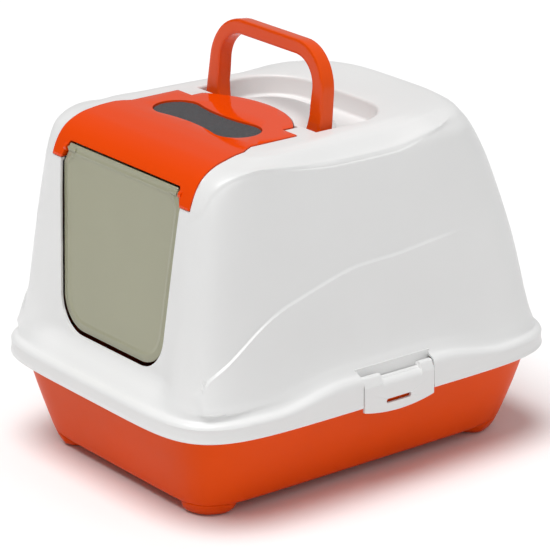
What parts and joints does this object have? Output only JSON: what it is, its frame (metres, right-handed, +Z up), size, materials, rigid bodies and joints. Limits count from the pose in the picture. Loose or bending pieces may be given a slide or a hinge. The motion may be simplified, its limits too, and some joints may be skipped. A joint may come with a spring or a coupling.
{
  "type": "hooded cat litter box",
  "caption": "Hooded cat litter box: tray, white hood with side clips, flip-up front cover with a smoky swing door and an odour filter, and a folding carrying handle.",
  "frame": {"origin": "on the floor under the middle of the box", "axes": "+Z up; the doorway faces -Y; +X is the right side seen from the front"},
  "size_m": [0.396, 0.502, 0.457],
  "materials": {
    "tray_plastic": "satin injection-moulded orange",
    "hood_plastic": "satin injection-moulded white",
    "cover_plastic": "glossy red-orange",
    "handle_plastic": "glossy red-orange",
    "door_plastic": "translucent smoky",
    "door_pin_plastic": "translucent smoky",
    "filter_felt": "charcoal-loaded fibre mat",
    "holder_plastic": "satin white",
    "clip_plastic": "satin injection-moulded white",
    "pin_plastic": "satin white"
  },
  "bodies": {
    "tray": {"tray": "tray_plastic"},
    "hood": {"hood": "hood_plastic", "latch_pins_left": "pin_plastic", "latch_pins_right": "pin_plastic", "handle_pin_left": "pin_plastic", "handle_pin_right": "pin_plastic"},
    "flip_cover": {"flip_cover": "cover_plastic", "carbon_filter": "filter_felt", "filter_holder": "holder_plastic", "cover_pin_left": "pin_plastic", "cover_pin_right": "pin_plastic"},
    "swing_door": {"swing_door": "door_plastic", "door_pin_left": "door_pin_plastic", "door_pin_right": "door_pin_plastic"},
    "handle": {"handle": "handle_plastic"},
    "latch_left": {"latch_left": "clip_plastic"},
    "latch_right": {"latch_right": "clip_plastic"}
  },
  "joints": [
    {"name": "hood_lift", "type": "slide", "parent": "tray", "child": "hood", "axis": [0, 0, 1], "range_m": [0, 0.15]},
    {"name": "cover_hinge", "type": "hinge", "parent": "hood", "child": "flip_cover", "pos_m": [0, -0.04, 0.371], "axis": [-1, 0, 0], "range_deg": [0, 85]},
    {"name": "door_swing", "type": "hinge", "parent": "flip_cover", "child": "swing_door", "pos_m": [0, -0.19743, 0.34], "axis": [1, 0, 0], "range_deg": [-60, 60]},
    {"name": "handle_fold", "type": "hinge", "parent": "hood", "child": "handle", "pos_m": [0, -0.013, 0.3635], "axis": [-1, 0, 0], "range_deg": [-6, 80]},
    {"name": "latch_left_hinge", "type": "hinge", "parent": "hood", "child": "latch_left", "pos_m": [-0.1895, 0.0065, 0.1298], "axis": [0, 1, 0], "range_deg": [0, 100]},
    {"name": "latch_right_hinge", "type": "hinge", "parent": "hood", "child": "latch_right", "pos_m": [0.1895, 0.0065, 0.1298], "axis": [0, -1, 0], "range_deg": [0, 100]}
  ]
}
